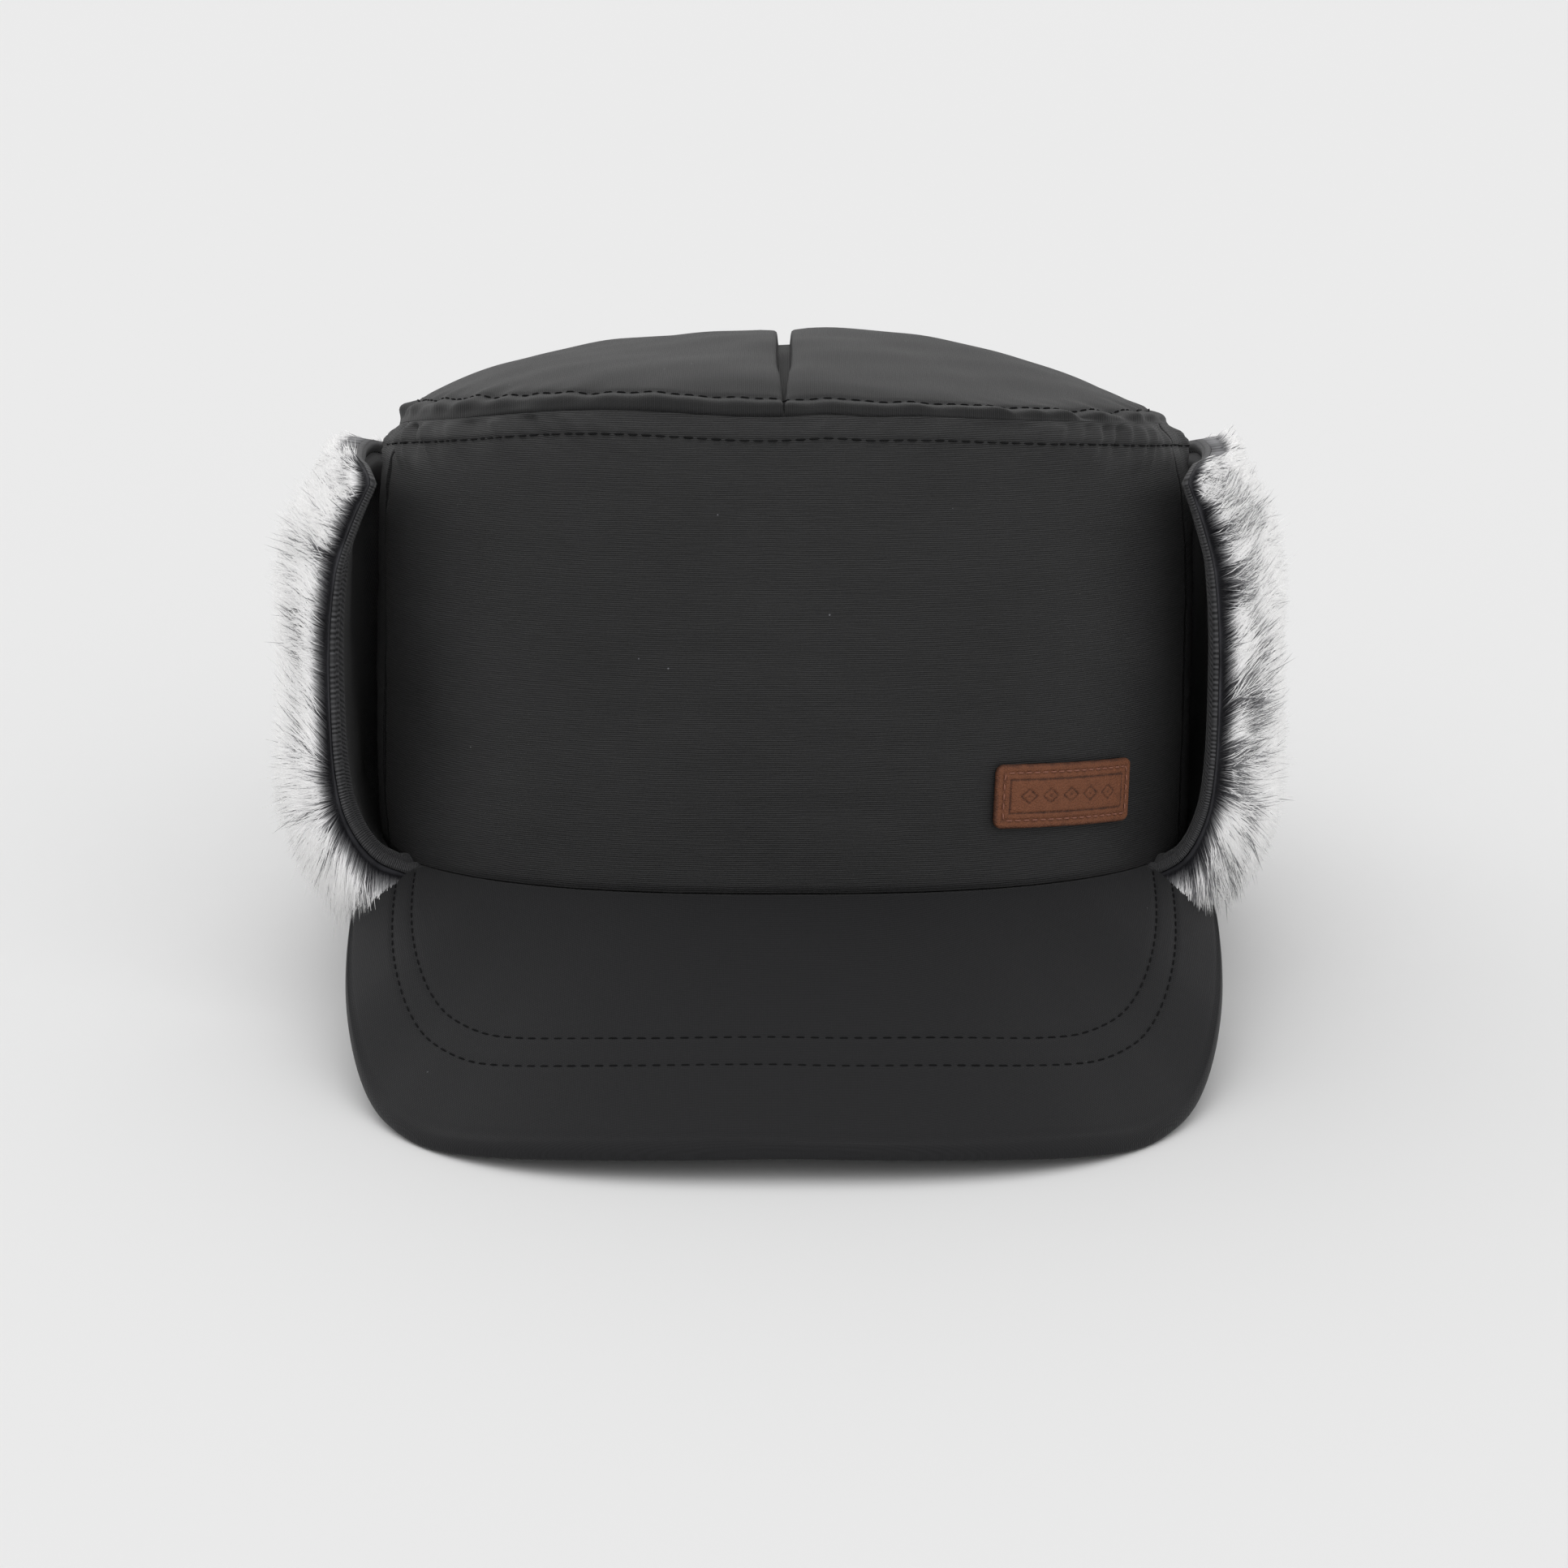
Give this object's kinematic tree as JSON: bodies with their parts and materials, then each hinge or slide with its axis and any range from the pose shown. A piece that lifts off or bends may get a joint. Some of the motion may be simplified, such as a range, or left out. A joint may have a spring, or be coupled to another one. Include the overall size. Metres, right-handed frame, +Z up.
{
  "type": "winter cap with a peak and a fur-faced ear flap",
  "caption": "Winter cap with a domed pleated crown, a stiff curved peak and a fur-faced ear flap folded up round the sides and back.",
  "frame": {"origin": "on the surface that the cap rests on, under the middle of the whole cap", "axes": "+Z up from that surface, -Y towards the peak, +X towards the wearer's left side"},
  "size_m": [0.2268, 0.295, 0.1384],
  "materials": {
    "shell_cloth": "charcoal ribbed cloth with a faint sheen",
    "peak_cloth": "near-black smooth matt cloth over a stiff board",
    "flap_twill": "near-black twill",
    "faux_fur": "grey pile with dark roots and pale tips",
    "label_leather": "brown leather, matt, slightly worn"
  },
  "bodies": {
    "root": {"front_panel": "shell_cloth", "back_panel": "shell_cloth", "top_panel": "shell_cloth", "peak": "peak_cloth", "flap_cloth": "flap_twill", "flap_fur": "faux_fur", "label": "label_leather"}
  },
  "joints": []
}
